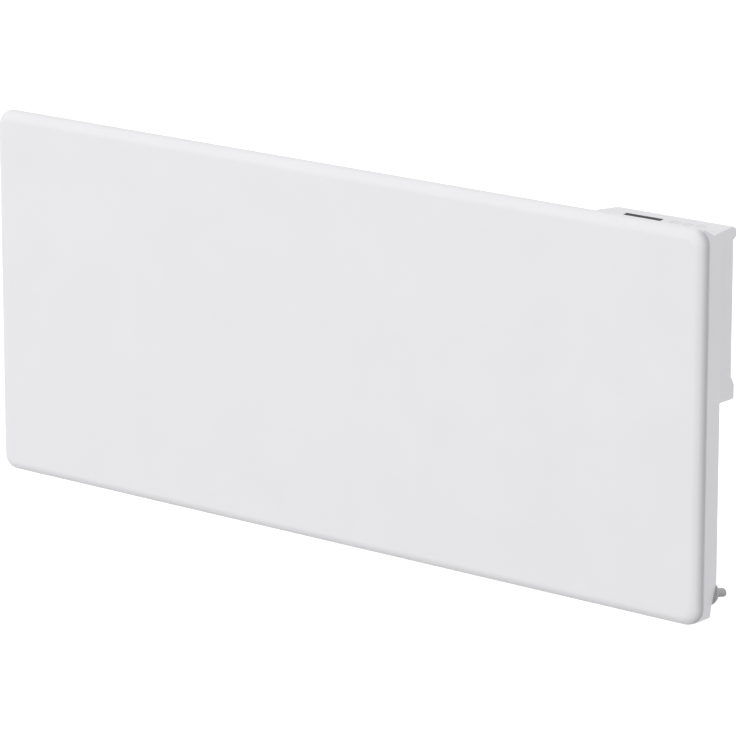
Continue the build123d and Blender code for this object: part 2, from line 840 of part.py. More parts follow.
sensor_top_height = casing_floor_height + casing_sheet + sensor_length
sensor_route = [
    (sensor_column, lead_depth, header_bottom_height),
    (sensor_column, lead_depth, return_height),
    (sensor_column, sensor_depth, sensor_top_height + 1.5 * lead_depth - 1.5 * sensor_depth),
    (sensor_column, sensor_depth, sensor_top_height),
]


def internal_lead(route):
    """A round lead along its route, with a tangent bend at each corner."""
    with BuildPart() as lead:
        with BuildLine() as path:
            FilletPolyline(*[spot(*point) for point in route], radius=lead_bend)
        with BuildSketch(Plane(origin=path.line @ 0, z_dir=path.line % 0)):
            Circle(lead_radius)
        sweep(path=path.line)
    return lead


for label, route in (
    ("lead_live", live_route),
    ("lead_link", link_route),
    ("lead_return", return_route),
    ("lead_earth", earth_route),
    ("lead_sensor", sensor_route),
):
    save(internal_lead(route), label)

with BuildPart() as lead_clips:
    for across in clip_positions:
        block(across - clip_width / 2, across + clip_width / 2, lead_depth - 2 * lead_radius,
              back_inner_depth, return_height - 2.5 * lead_radius, return_height + 2.5 * lead_radius)
        cross_rod(across - clip_width, across + clip_width, lead_depth, return_height,
                  lead_radius + lead_gap, mode=Mode.SUBTRACT)
        block(across - clip_width, across + clip_width, lead_depth - 3 * lead_radius, lead_depth,
              return_height - lead_radius / 2, return_height + lead_radius / 2, mode=Mode.SUBTRACT)
save(lead_clips, "lead_clips")

with BuildPart() as earth_stud:
    rod(earth_column, earth_height, back_inner_depth - earth_stud_length, back_inner_depth, earth_stud_radius)
save(earth_stud, "earth_stud")

with BuildPart() as earth_tag:
    rod(earth_column, earth_height, back_inner_depth - earth_tag_sheet, back_inner_depth, earth_tag_radius)
    block(earth_column - 2 * lead_radius, earth_column + 2 * lead_radius, back_inner_depth - earth_tag_sheet,
          back_inner_depth, earth_height, earth_height + 1.5 * earth_barrel_length)
    block(earth_column - 2 * lead_radius, earth_column + 2 * lead_radius,
          back_inner_depth - earth_tag_sheet - 2 * lead_radius, back_inner_depth - earth_tag_sheet,
          earth_height + 0.7 * earth_barrel_length, earth_height + 1.5 * earth_barrel_length)
    rod(earth_column, earth_height, back_inner_depth - 2 * earth_tag_sheet, back_inner_depth + 1,
        earth_stud_radius + thread_gap, mode=Mode.SUBTRACT)
save(earth_tag, "earth_tag")

with BuildPart() as earth_nut:
    nut_front = back_inner_depth - earth_tag_sheet - earth_nut_height
    with BuildSketch(at_depth(nut_front + earth_nut_height)):
        with Locations((earth_column, height_z(earth_height))):
            RegularPolygon(earth_nut_across / 2, 6, major_radius=False)
            Circle(earth_stud_radius + thread_gap, mode=Mode.SUBTRACT)
    extrude(amount=earth_nut_height)
save(earth_nut, "earth_nut")

with BuildPart() as sensor_holder:
    holder_half = sensor_holder_width / 2
    holder_foot = casing_floor_height + casing_sheet
    block(sensor_column - holder_half, sensor_column + holder_half, sensor_depth - holder_half,
          sensor_depth + holder_half, holder_foot, holder_foot + sensor_holder_height)
    upright_rod(sensor_column, sensor_depth, holder_foot - 1, holder_foot + 2 * sensor_holder_height,
                sensor_radius + thread_gap, mode=Mode.SUBTRACT)
save(sensor_holder, "sensor_holder")

with BuildPart() as room_sensor:
    upright_rod(sensor_column, sensor_depth, holder_foot, sensor_top_height, sensor_radius)
save(room_sensor, "room_sensor")

# ------------------------------------------------------------------ control box


def box_form(inset, past_front):
    """The control box's form, drawn in by inset, and carried past_front into the casing."""
    top_front = box_front_at(inset) - past_front
    back = box_back_depth - inset
    front = casing_back_depth - past_front
    with BuildPart() as form:
        with BuildSketch(Plane.YZ.offset(box_left)):
            with BuildLine():
                Polyline(
                    section(top_front, box_top_at(top_front, inset)),
                    section(back, box_top_at(back, inset)),
                    section(back, box_bottom_height + inset),
                    section(front, box_bottom_height + inset),
                    section(front, shoulder_at(casing_back_depth) - past_front),
                    close=True,
                )
            make_face()
        extrude(amount=box_right - box_left)
        with BuildSketch(Plane.XY.offset(height_z(box_bottom_height) - 1)):
            with BuildLine():
                Polyline(
                    (box_left, depth_y(0)),
                    (box_left, depth_y(box_back_depth - box_end_depth)),
                    (box_left + box_end_across, depth_y(box_back_depth)),
                    (box_right, depth_y(box_back_depth)),
                    (box_right, depth_y(0)),
                    close=True,
                )
            make_face()
            offset(amount=-inset, kind=Kind.INTERSECTION)
        extrude(amount=panel_height, mode=Mode.INTERSECT)
    return form.part


lower_foot = [
    (box_inner_depth, box_bottom_height + lower_foot_bottom),
    (overall_depth, box_bottom_height + lower_foot_bottom),
    (overall_depth, box_bottom_height + lower_foot_top),
    (box_back_depth, box_bottom_height + lower_foot_root),
    (box_inner_depth, box_bottom_height + lower_foot_root),
]
upper_foot = [
    (box_inner_depth, box_top_back_height - upper_foot_root),
    (box_back_depth, box_top_back_height - upper_foot_root),
    (overall_depth, box_top_back_height - upper_foot_bottom),
    (overall_depth, box_top_back_height - upper_foot_top),
    (box_inner_depth, box_top_at(box_inner_depth)),
]
display_across = box_left + display_offset
key_spots = [display_across + display_length / 2 + key_gap + key_pitch * i for i in range(3)]
switch_across = box_right - switch_end_inset
inlet_across = switch_across - inlet_spacing
boss_spots = [bay_left + board_end - board_margin + i * boss_spacing for i in range(2)]
board_top = -(box_wall + display_lip_sheet + module_sheet)
board_bottom = board_top - board_sheet

with BuildPart() as box_cover:
    add(box_form(0, 0))
    fillet(box_cover.faces().sort_by(Axis.Y)[-1].edges(), radius=box_edge)
    add(box_form(box_wall, 4 * box_wall), mode=Mode.SUBTRACT)
    for across in (box_right - foot_width, box_left + foot_left_offset):
        for outline in (lower_foot, upper_foot):
            with BuildSketch(Plane.YZ.offset(across)):
                with BuildLine():
                    Polyline(*[section(*point) for point in outline], close=True)
                make_face()
            extrude(amount=foot_width)
    with BuildSketch(box_top_plane):
        with Locations((display_across, 0)):
            RectangleRounded(display_length, display_width, display_corner)
        with Locations(*[(x, 0) for x in key_spots]):
            RectangleRounded(key_length + 2 * key_side_gap, key_width + 2 * key_side_gap, key_corner)
    extrude(amount=-1.5 * box_wall, mode=Mode.SUBTRACT)
    for across in boss_spots:
        with Locations(box_top_plane * Location((across, boss_setback, (board_top - box_wall) / 2))):
            Cylinder(boss_radius, -board_top - box_wall)
        with Locations(box_top_plane * Location((across, boss_setback, board_top))):
            Cylinder(board_screw_radius + thread_gap, 2 * (board_screw_length - board_sheet),
                     mode=Mode.SUBTRACT)
    rods(pillar_spots, box_inner_depth - 1, box_back_depth + 1, box_screw_radius + hole_gap,
         mode=Mode.SUBTRACT)
    block(switch_across - switch_length / 2 - hole_gap, switch_across + switch_length / 2 + hole_gap,
          switch_depth - switch_width / 2 - hole_gap, switch_depth + switch_width / 2 + hole_gap,
          box_bottom_height - 1, box_bottom_height + box_wall + 1, mode=Mode.SUBTRACT)
    upright_rod(inlet_across, inlet_depth, box_bottom_height - 1, box_bottom_height + box_wall + 1,
                inlet_neck_radius + hole_gap, mode=Mode.SUBTRACT)
save(box_cover, "control_box_cover")

with BuildPart() as control_box_base:
    block(bay_left, bay_right, bay_front_depth, casing_back_depth, bay_bottom_height, bay_top_height)
    block(bay_left - bay_side_flange, bay_right + bay_side_flange, casing_back_depth, flange_back_depth,
          bay_bottom_height - bay_lower_flange, bay_top_height + bay_flange)
    rods(pillar_spots, flange_back_depth, box_inner_depth, pillar_radius)
    rods(pillar_spots, box_back_depth - box_screw_length, box_inner_depth + 1,
         box_screw_radius + thread_gap, mode=Mode.SUBTRACT)
    rods(flange_spots, casing_back_depth - 1, flange_back_depth + 1, box_screw_radius + hole_gap,
         mode=Mode.SUBTRACT)
    block(bay_left + bay_wall, bay_right - bay_wall, bay_floor_depth, flange_back_depth + 1,
          bay_bottom_height + bay_wall, bay_top_height - bay_wall, mode=Mode.SUBTRACT)
    rods(board_spots, bay_floor_depth, board_depth, pillar_radius)
    rods(board_spots, bay_floor_depth + 1, board_depth + 1, board_screw_radius + thread_gap,
         mode=Mode.SUBTRACT)
    for across in lead_columns:
        upright_rod(across, lead_depth, bay_bottom_height - 1, bay_bottom_height + bay_wall + 1,
                    lead_radius + lead_gap, mode=Mode.SUBTRACT)
save(control_box_base, "control_box_base")

with BuildPart() as box_screws:
    # Four hold the base to the casing, and four hold the cover to the base.
    pan_screws(flange_spots, flange_back_depth, box_screw_length, box_screw_radius)
    pan_screws(pillar_spots, box_back_depth, box_screw_length, box_screw_radius)
save(box_screws, "box_screws")

# ------------------------------------------------------------------ display and keys


def on_box_top(across, along, above):
    """A place in the frame of the box's sloping top."""
    return box_top_plane * Location((across, along, above))


def top_slab(left, right, front, back, low, high, mode=Mode.ADD):
    """A box parallel to the box's sloping top, between heights measured from its surface."""
    with Locations(on_box_top((left + right) / 2, (front + back) / 2, (low + high) / 2)):
        Box(right - left, back - front, high - low, mode=mode)


window_under = -(box_wall + display_lip_sheet)

with BuildPart() as display_window:
    with BuildSketch(box_top_plane.offset(-display_recess)):
        with Locations((display_across, 0)):
            RectangleRounded(display_length - 2 * display_fit, display_width - 2 * display_fit,
                             display_corner - display_fit)
    extrude(amount=display_recess - box_wall)
    lip_half_length = display_length / 2 + display_lip
    lip_half_width = display_width / 2 + display_lip
    top_slab(display_across - lip_half_length, display_across + lip_half_length,
             -lip_half_width, lip_half_width, window_under, -box_wall)
save(display_window, "display_window")

with BuildPart() as display_module:
    top_slab(display_across - display_length / 2, display_across + display_length / 2,
             -display_width / 2, display_width / 2, board_top, window_under)
save(display_module, "display_module")

with BuildPart() as control_board:
    top_slab(boss_spots[0] - board_end, boss_spots[1] + board_end, -control_board_front,
             control_board_width - control_board_front, board_bottom, board_top)
    with Locations(*[on_box_top(x, boss_setback, (board_top + board_bottom) / 2) for x in boss_spots]):
        Cylinder(board_screw_radius + hole_gap, 2 * board_sheet, mode=Mode.SUBTRACT)
save(control_board, "control_board")

stem_bottom = -(box_wall + key_rest_gap + key_lip_sheet + key_stem_length)
plunger_top = stem_bottom - key_travel - key_rest_gap
switch_top = (plunger_top + board_top) / 2 + board_top / 20

with BuildPart() as key_switches:
    for across in key_spots:
        top_slab(across - switch_size / 2, across + switch_size / 2, -control_board_front,
                 switch_size - control_board_front, board_top, switch_top)
        with Locations(on_box_top(across, 0, (switch_top + plunger_top) / 2)):
            Cylinder(key_stem_radius, plunger_top - switch_top)
save(key_switches, "key_switches")


def control_key(across):
    """A flush key cap with the lip that keeps it in the box and the stem that works its switch."""
    with BuildPart() as key:
        with BuildSketch(box_top_plane):
            with Locations((across, 0)):
                RectangleRounded(key_length, key_width, key_corner - key_side_gap)
        extrude(amount=-box_wall - key_rest_gap)
        fillet(key.faces().sort_by(Axis.Z)[-1].edges(), radius=key_edge)
        reach = key_side_gap + key_lip
        lip_top = -box_wall - key_rest_gap
        top_slab(across - key_length / 2 - reach, across + key_length / 2 + reach, -key_width / 2 - reach,
                 key_width / 2 + reach, lip_top - key_lip_sheet, lip_top)
        with Locations(on_box_top(across, 0, stem_bottom + key_stem_length / 2)):
            Cylinder(key_stem_radius, key_stem_length)
    return key


for across, label in zip(key_spots, ("key_minus", "key_plus", "key_mode")):
    save(control_key(across), label)

# ------------------------------------------------------------------ power board

board_back_depth = board_depth + board_sheet

with BuildPart() as power_board:
    block(board_left, board_right, board_depth, board_back_depth, board_bottom_height, board_top_height)
    rods(board_spots, board_depth - 1, board_back_depth + 1, board_screw_radius + hole_gap,
         mode=Mode.SUBTRACT)
save(power_board, "power_board")

with BuildPart() as board_screws:
    pan_screws(board_spots, board_back_depth, board_screw_length, board_screw_radius)
    board_screw_head = 1.2 * board_screw_radius
    with Locations(*[on_box_top(x, boss_setback, board_bottom - board_screw_head / 2) for x in boss_spots]):
        Cylinder(1.8 * board_screw_radius, board_screw_head)
    with Locations(*[on_box_top(x, boss_setback, board_bottom + board_screw_length / 2) for x in boss_spots]):
        Cylinder(board_screw_radius, board_screw_length)
save(board_screws, "board_screws")

with BuildPart() as board_header:
    block(lead_columns[-1] - header_end, lead_columns[0] + header_end / 2, board_back_depth,
          board_back_depth + header_depth, board_bottom_height, board_bottom_height + header_height)
save(board_header, "board_header")

supply_left = board_left + supply_margin
supply_bottom_height = board_bottom_height + supply_rise

with BuildPart() as supply_module:
    block(supply_left, supply_left + supply_length, board_back_depth, board_back_depth + supply_height,
          supply_bottom_height, supply_bottom_height + supply_width)
    fillet(supply_module.faces().sort_by(Axis.Y)[-1].edges(), radius=1.0)
save(supply_module, "supply_module")

relay_left = board_right - relay_margin - relay_length

with BuildPart() as relay:
    block(relay_left, relay_left + relay_length, board_back_depth, board_back_depth + relay_height,
          supply_bottom_height, supply_bottom_height + relay_width)
    chamfer(relay.faces().sort_by(Axis.Y)[-1].edges(), length=0.8)
save(relay, "relay")

with BuildPart() as fuse:
    fuse_left = board_left + fuse_margin
    fuse_height = board_bottom_height + fuse_rise
    fuse_depth = board_back_depth + fuse_radius + fuse_lift
    cross_rod(fuse_left, fuse_left + fuse_length, fuse_depth, fuse_height, fuse_radius)
    for left in (fuse_left, fuse_left + fuse_length - fuse_cap):
        cross_rod(left, left + fuse_cap, fuse_depth, fuse_height, fuse_radius + fuse_cap_wall)
        block(left + 0.5, left + fuse_cap - 0.5, board_back_depth, fuse_depth,
              fuse_height - fuse_radius, fuse_height + fuse_radius)
save(fuse, "fuse")

terminal_left = bay_left + terminal_margin
terminal_bottom_height = bay_bottom_height + terminal_rise
terminal_rows = [terminal_left + terminal_length_across * (i + 0.5) / 3 for i in range(3)]
terminal_back_depth = bay_floor_depth + terminal_block_depth

with BuildPart() as terminal_block:
    block(terminal_left, terminal_left + terminal_length_across, bay_floor_depth, terminal_back_depth,
          terminal_bottom_height, terminal_bottom_height + terminal_block_height)
    for across in terminal_rows:
        rod(across, terminal_bottom_height + 0.7 * terminal_block_height, terminal_back_depth - 5,
            terminal_back_depth + 1, 2.6, mode=Mode.SUBTRACT)
        upright_rod(across, terminal_back_depth - 8, terminal_bottom_height - 1,
                    terminal_bottom_height + terminal_block_height / 2, 2.0, mode=Mode.SUBTRACT)
save(terminal_block, "terminal_block")

link_left = (bay_left + bay_right - link_width) / 2
link_right = link_left + link_width
link_low_height = board_top_height - link_drop
plug_setback = display_width

with BuildPart() as board_link:
    # A ribbon that drops from the plug under the upper board to the plug on the lower one
    top_slab(link_left, link_right, plug_setback - plug_depth / 2, plug_setback + plug_depth / 2,
             board_bottom - plug_height, board_bottom)
    block(link_left + 1, link_right - 1, inlet_depth, inlet_depth + link_sheet, link_low_height,
          box_top_at(inlet_depth, plug_height / 2 - board_bottom))
    block(link_left + 1, link_right - 1, board_back_depth + plug_depth / 2, inlet_depth + link_sheet,
          link_low_height, link_low_height + link_sheet)
    block(link_left, link_right, board_back_depth, board_back_depth + plug_depth,
          link_low_height - plug_height, link_low_height + plug_height)
save(board_link, "board_link")

# ------------------------------------------------------------------ power switch

rocker_pivot_height = box_bottom_height + rocker_pin_height
cavity_half_length = switch_length / 2 - switch_wall
cavity_half_width = switch_width / 2 - switch_wall
rocker_half_width = cavity_half_width - rocker_side_gap
rocker_low = -(rocker_pin_height + bezel_sheet + rocker_drop)
tilt = radians(rocker_tilt)
rocker_half_length = (cavity_half_length - rocker_side_gap + rocker_low * sin(tilt)) / cos(tilt)
switch_left = switch_across - switch_length / 2
switch_right = switch_across + switch_length / 2
switch_front_depth = switch_depth - switch_width / 2
switch_back_depth = switch_depth + switch_width / 2

with BuildPart() as power_switch_body:
    block(switch_left, switch_right, switch_front_depth, switch_back_depth,
          box_bottom_height, box_bottom_height + switch_height)
    block(switch_left - bezel_rim, switch_right + bezel_rim, switch_front_depth - bezel_rim,
          switch_back_depth + bezel_rim, box_bottom_height - bezel_sheet, box_bottom_height)
    block(switch_across - cavity_half_length, switch_across + cavity_half_length,
          switch_depth - cavity_half_width, switch_depth + cavity_half_width,
          box_bottom_height - 2 * bezel_sheet, rocker_pivot_height + rocker_rise, mode=Mode.SUBTRACT)
    rod(switch_across, rocker_pivot_height, switch_front_depth - 1, switch_back_depth + 1,
        rocker_pin_radius + pin_gap, mode=Mode.SUBTRACT)
save(power_switch_body, "power_switch_body")

with BuildPart() as power_rocker:
    pin_reach = rocker_half_width + rocker_side_gap + rocker_pin_reach
    rocker_plane = Plane(
        origin=spot(switch_across, switch_depth + rocker_half_width, rocker_pivot_height),
        x_dir=(cos(tilt), 0, -sin(tilt)),
        z_dir=(0, -1, 0),
    )
    with BuildSketch(rocker_plane):
        with BuildLine():
            Polyline(
                (-rocker_half_length, rocker_low),
                (0, rocker_low + rocker_half_length * tan(tilt)),
                (rocker_half_length, rocker_low),
                (rocker_half_length, -rocker_rise / 2),
                (rocker_half_length / 2, rocker_rise / 2),
                (-rocker_half_length / 2, rocker_rise / 2),
                (-rocker_half_length, -rocker_rise / 2),
                close=True,
            )
        make_face()
    extrude(amount=2 * rocker_half_width)
    rod(switch_across, rocker_pivot_height, switch_depth - pin_reach, switch_depth + pin_reach,
        rocker_pin_radius)
save(power_rocker, "power_rocker")

switch_top_height = box_bottom_height + switch_height
header_middle_height = board_bottom_height + header_height / 2
crossing_height = switch_top_height + 2.5 * lead_bend
clamp_height = terminal_bottom_height + clamp_rise
board_tab = switch_across + lead_pitch / 2
clamp_tab = switch_across - lead_pitch / 2
supply_routes = [
    [
        (board_tab, switch_depth, switch_top_height),
        (board_tab, switch_depth, header_middle_height),
        (board_tab, board_back_depth + header_depth, header_middle_height),
    ],
    [
        (clamp_tab, switch_depth, switch_top_height),
        (clamp_tab, switch_depth, crossing_height),
        (terminal_rows[2], switch_depth, crossing_height),
        (terminal_rows[2], switch_depth, clamp_height),
        (terminal_rows[2], terminal_back_depth, clamp_height),
    ],
]

with BuildPart() as supply_leads:
    for route in supply_routes:
        add(internal_lead(route).part)
save(supply_leads, "supply_leads")

# ------------------------------------------------------------------ cable inlet

with BuildPart() as cable_inlet:
    inlet_bottom_height = box_bottom_height - inlet_flange_sheet
    inlet_top_height = box_bottom_height + box_wall + inlet_inner_length
    upright_rod(inlet_across, inlet_depth, inlet_bottom_height, box_bottom_height, inlet_flange_radius)
    upright_rod(inlet_across, inlet_depth, box_bottom_height, box_bottom_height + box_wall, inlet_neck_radius)
    upright_rod(inlet_across, inlet_depth, box_bottom_height + box_wall, inlet_top_height, inlet_inner_radius)
    upright_rod(inlet_across, inlet_depth, inlet_bottom_height - 1, inlet_top_height + 1,
                inlet_bore_radius, mode=Mode.SUBTRACT)
save(cable_inlet, "cable_inlet")

# ------------------------------------------------------------------ wall rails

finger_back_depth = back_inner_depth - rail_gap
finger_front_depth = finger_back_depth - hook_finger
bar_front_depth = rail_web_depth - rail_sheet
bar_bottom_height = screw_centre_height - crossbar_height / 2
bar_top_height = screw_centre_height + crossbar_height / 2
lock_back_depth = lock_front_depth + lock_sheet


def rivet_places(side):
    """Where the crossbar is riveted to one rail."""
    return [(side * rail_spacing / 2 + part * crossbar_overlap / 4, screw_centre_height) for part in (-1, 1)]


def wall_rail(side):
    """One channel rail with its four hooks, screwed to the wall."""
    centre = side * rail_spacing / 2
    wall_holes = [(centre, screw_centre_height + lift * wall_hole_spacing / 2) for lift in (-1, 1)]
    with BuildPart() as rail:
        block(centre - rail_width / 2, centre + rail_width / 2, rail_web_depth, overall_depth,
              rail_foot_height, rail_top_height)
        for cheek in (-1, 1):
            outer_face = centre + cheek * rail_width / 2
            near, far = sorted((outer_face, outer_face - cheek * rail_sheet))
            block(near, far, rail_edge_depth, overall_depth, rail_foot_height, cheek_top_height)
            for top in hook_heights:
                neck_top = top - hang_gap
                block(near, far, finger_front_depth, rail_edge_depth, neck_top - hook_neck, neck_top)
                block(near, far, finger_front_depth, finger_back_depth, neck_top - hook_neck, top + hook_rise)
        bar_face = centre - side * rail_width / 2
        block(bar_face - 2 * rail_sheet, bar_face + 2 * rail_sheet, bar_front_depth - hang_gap,
              rail_web_depth, bar_bottom_height - hang_gap, bar_top_height + hang_gap, mode=Mode.SUBTRACT)
        rods(wall_holes, rail_web_depth - 1, overall_depth + 1, wall_hole_radius, mode=Mode.SUBTRACT)
        rods(rivet_places(side), rail_web_depth - 1, overall_depth + 1,
             crossbar_rivet_radius + thread_gap, mode=Mode.SUBTRACT)
        rod(centre, lock_pivot_height, rail_web_depth - 1, overall_depth + 1,
            lock_pin_radius + thread_gap, mode=Mode.SUBTRACT)
    return rail


for side, label in ((-1, "wall_rail_left"), (1, "wall_rail_right")):
    save(wall_rail(side), label)

with BuildPart() as wall_crossbar:
    bar_half = (rail_spacing + crossbar_overlap) / 2
    block(-bar_half, bar_half, bar_front_depth, rail_web_depth, bar_bottom_height, bar_top_height)
    for side in (-1, 1):
        rods(rivet_places(side), bar_front_depth - 1, rail_web_depth + 1,
             crossbar_rivet_radius + thread_gap, mode=Mode.SUBTRACT)
save(wall_crossbar, "wall_crossbar")

with BuildPart() as crossbar_rivets:
    places = rivet_places(-1) + rivet_places(1)
    rods(places, bar_front_depth, overall_depth, crossbar_rivet_radius)
    rods(places, bar_front_depth - rivet_head_height, bar_front_depth, 1.8 * crossbar_rivet_radius)
save(crossbar_rivets, "crossbar_rivets")

with BuildPart() as lock_catches:
    # Angles spot-welded to the casing's back, that the locks on the rails hold down
    for centre in (-rail_spacing / 2, rail_spacing / 2):
        block(centre - tab_width / 2, centre + tab_width / 2, casing_back_depth,
              lock_front_depth + tab_overlap, tab_top_height - tab_sheet, tab_top_height)
        block(centre - tab_width / 2, centre + tab_width / 2, casing_back_depth,
              casing_back_depth + tab_sheet, tab_top_height - tab_foot, tab_top_height)
save(lock_catches, "lock_catches")

lock_places = [(side * rail_spacing / 2, lock_pivot_height) for side in (-1, 1)]

with BuildPart() as lock_pivots:
    rods(lock_places, lock_front_depth - lock_side_gap, overall_depth, lock_pin_radius)
    rods(lock_places, lock_back_depth + lock_side_gap, rail_web_depth, lock_collar_radius)
    rods(lock_places, lock_front_depth - lock_side_gap - lock_head_sheet, lock_front_depth - lock_side_gap,
         lock_head_radius)
save(lock_pivots, "lock_pivots")


def rail_lock(side):
    """The turning lock on one rail, open: its arm points outwards and its handle up."""
    centre = side * rail_spacing / 2
    half = lock_arm_width / 2
    with BuildPart() as lock:
        rod(centre, lock_pivot_height, lock_front_depth, lock_back_depth, lock_hub_radius)
        near, far = sorted((centre, centre + side * lock_arm))
        block(near, far, lock_front_depth, lock_back_depth,
              lock_pivot_height - half, lock_pivot_height + half)
        block(centre - half, centre + half, lock_front_depth, lock_back_depth,
              lock_pivot_height, lock_pivot_height + lock_handle)
        fillet(lock.edges().filter_by(Axis.Y).group_by(Axis.Z)[-1], radius=half - 1)
        rod(centre, lock_pivot_height, lock_front_depth - 1, lock_back_depth + 1,
            lock_pin_radius + pin_gap, mode=Mode.SUBTRACT)
    return lock


for side, label in ((-1, "rail_lock_left"), (1, "rail_lock_right")):
    save(rail_lock(side), label)

# ------------------------------------------------------------------ wall spacers


def wall_spacer(across):
    """A snap-in spacer on the casing's bevel: a flange and a peg that meets the wall."""
    seat = spacer_seat * Location((across, 0, 0))
    flange_centre = Vector(*spot(across, spacer_depth, spacer_height)) + bevel_plane.z_dir * spacer_disc_sheet
    reach = Vector(*spot(across, overall_depth, spacer_tip_height)) - flange_centre
    with BuildPart() as spacer:
        with Locations(seat * Location((0, 0, spacer_disc_sheet / 2))):
            Cylinder(spacer_disc_radius, spacer_disc_sheet)
        with Locations(Plane(origin=flange_centre + reach / 2, z_dir=reach)):
            Cylinder(spacer_peg_radius, reach.length + 2 * spacer_peg_radius)
        with Locations(seat * Location((0, 0, spacer_disc_sheet / 2))):
            Cylinder(spacer_disc_radius + 1, spacer_disc_sheet, mode=Mode.SUBTRACT)
            Cylinder(spacer_disc_radius, spacer_disc_sheet)
        with Locations(seat * Location((0, 0, -spacer_disc_radius / 2))):
            Cylinder(2 * spacer_disc_radius, spacer_disc_radius, mode=Mode.SUBTRACT)
        shank = casing_sheet + pin_gap
        with Locations(seat * Location((0, 0, -shank / 2))):
            Cylinder(spacer_shank_radius, shank)
        with Locations(seat * Location((0, 0, -shank - spacer_barb_length / 2))):
            Cone(spacer_shank_radius / 2, spacer_barb_radius, spacer_barb_length)
        block(across - 2 * spacer_disc_radius, across + 2 * spacer_disc_radius, overall_depth,
              overall_depth + 4 * spacer_peg_radius, spacer_tip_height - 4 * spacer_peg_radius,
              spacer_tip_height + 4 * spacer_peg_radius, mode=Mode.SUBTRACT)
    return spacer


for across, label in zip(spacer_columns, ("wall_spacer_left", "wall_spacer_right")):
    save(wall_spacer(across), label)
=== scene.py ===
"""A wall panel heater on its bracket: camera, light, floor and materials."""

import json
import math

import bpy
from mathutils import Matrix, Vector


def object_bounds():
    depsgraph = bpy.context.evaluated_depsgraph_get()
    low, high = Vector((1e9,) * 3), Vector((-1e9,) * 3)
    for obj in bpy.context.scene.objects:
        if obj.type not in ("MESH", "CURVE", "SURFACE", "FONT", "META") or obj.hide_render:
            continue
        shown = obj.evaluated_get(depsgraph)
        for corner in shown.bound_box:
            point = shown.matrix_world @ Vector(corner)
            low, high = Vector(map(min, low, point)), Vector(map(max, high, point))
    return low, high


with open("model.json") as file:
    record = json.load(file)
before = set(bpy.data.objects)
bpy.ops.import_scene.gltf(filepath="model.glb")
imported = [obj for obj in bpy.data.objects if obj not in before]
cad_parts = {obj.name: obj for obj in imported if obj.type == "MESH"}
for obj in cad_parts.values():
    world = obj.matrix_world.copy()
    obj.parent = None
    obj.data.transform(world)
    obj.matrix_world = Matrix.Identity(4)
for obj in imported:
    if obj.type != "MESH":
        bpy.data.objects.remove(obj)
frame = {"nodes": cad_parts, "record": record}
cad_low, cad_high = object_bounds()

# ------------------------------------------------------------------ the photograph's view

# In metres, degrees, and for the lens and sensor millimetres
CAMERA_PLACE = Vector((2.9144, -3.5768, 1.1118))
CAMERA_YAW = 39.304
CAMERA_PITCH = 14.487
CAMERA_LENS = 242.10
CAMERA_REACH = 100.0
SENSOR_WIDTH = 36.0

# ------------------------------------------------------------------ light and surroundings

WHITE = (1.0, 1.0, 1.0, 1.0)

# How strongly the surround lights the heater, and how strongly it is seen
AMBIENT = 0.85
BACKDROP = 1.0

# To the camera the floor adds FLOOR_LIFT of white to the light that falls on it, where the shadow
# lies, within the first length of FLOOR_POOL. Past the second it is all white.
FLOOR_DROP = 0.40
FLOOR_HEIGHT = cad_low.z - FLOOR_DROP
FLOOR_SIZE = 60.0
FLOOR_TONE = 0.40
FLOOR_LIFT = 0.72
FLOOR_POOL = (0.8, 1.6)

# All lamps face one place. name: where the lamp hangs, its width and height, its power in watts
LAMP_TARGET = Vector((0.1, 0.0, 0.0))
LAMPS = {
    "front_left_box": ((-2.0, -3.2, 0.5), 2.0, 1.6, 19.4),
    "front_box": ((0.4, -4.0, 0.0), 2.0, 1.6, 32.4),
    "right_box": ((4.0, -0.4, 0.4), 1.6, 1.6, 7.6),
}


def add_camera():
    data = bpy.data.cameras.new("camera")
    data.lens = CAMERA_LENS
    data.sensor_width = SENSOR_WIDTH
    data.clip_end = CAMERA_REACH
    camera = bpy.data.objects.new("camera", data)
    camera.location = CAMERA_PLACE
    camera.rotation_euler = (math.radians(90.0 - CAMERA_PITCH), 0.0, math.radians(CAMERA_YAW))
    bpy.context.scene.collection.objects.link(camera)
    bpy.context.scene.camera = camera


def add_lamp(name, place, width, height, power):
    data = bpy.data.lights.new(name, "AREA")
    data.shape = "RECTANGLE"
    data.size = width
    data.size_y = height
    data.energy = power
    lamp = bpy.data.objects.new(name, data)
    lamp.location = place
    lamp.rotation_euler = (LAMP_TARGET - Vector(place)).to_track_quat("-Z", "Y").to_euler()
    bpy.context.scene.collection.objects.link(lamp)


def calculate(tree, operation, *values):
    """The result of a Math node over one or two values."""
    node = tree.nodes.new("ShaderNodeMath")
    node.operation = operation
    for socket, value in zip(node.inputs, values):
        tree.links.new(value, socket)
    return node.outputs[0]


def map_range(tree, value, source, result=(0.0, 1.0), interpolation="LINEAR"):
    """Goes between the two results while the value goes between the two sources."""
    node = tree.nodes.new("ShaderNodeMapRange")
    node.interpolation_type = interpolation
    node.inputs["From Min"].default_value = source[0]
    node.inputs["From Max"].default_value = source[1]
    node.inputs["To Min"].default_value = result[0]
    node.inputs["To Max"].default_value = result[1]
    tree.links.new(value, node.inputs["Value"])
    return node.outputs["Result"]


def seen_directly(tree):
    """1 for what the camera sees, straight on or by way of gloss or glass, and 0 for the rest."""
    path = tree.nodes.new("ShaderNodeLightPath")
    gloss = calculate(tree, "MAXIMUM", path.outputs["Is Camera Ray"], path.outputs["Is Glossy Ray"])
    return calculate(tree, "MAXIMUM", gloss, path.outputs["Is Transmission Ray"])


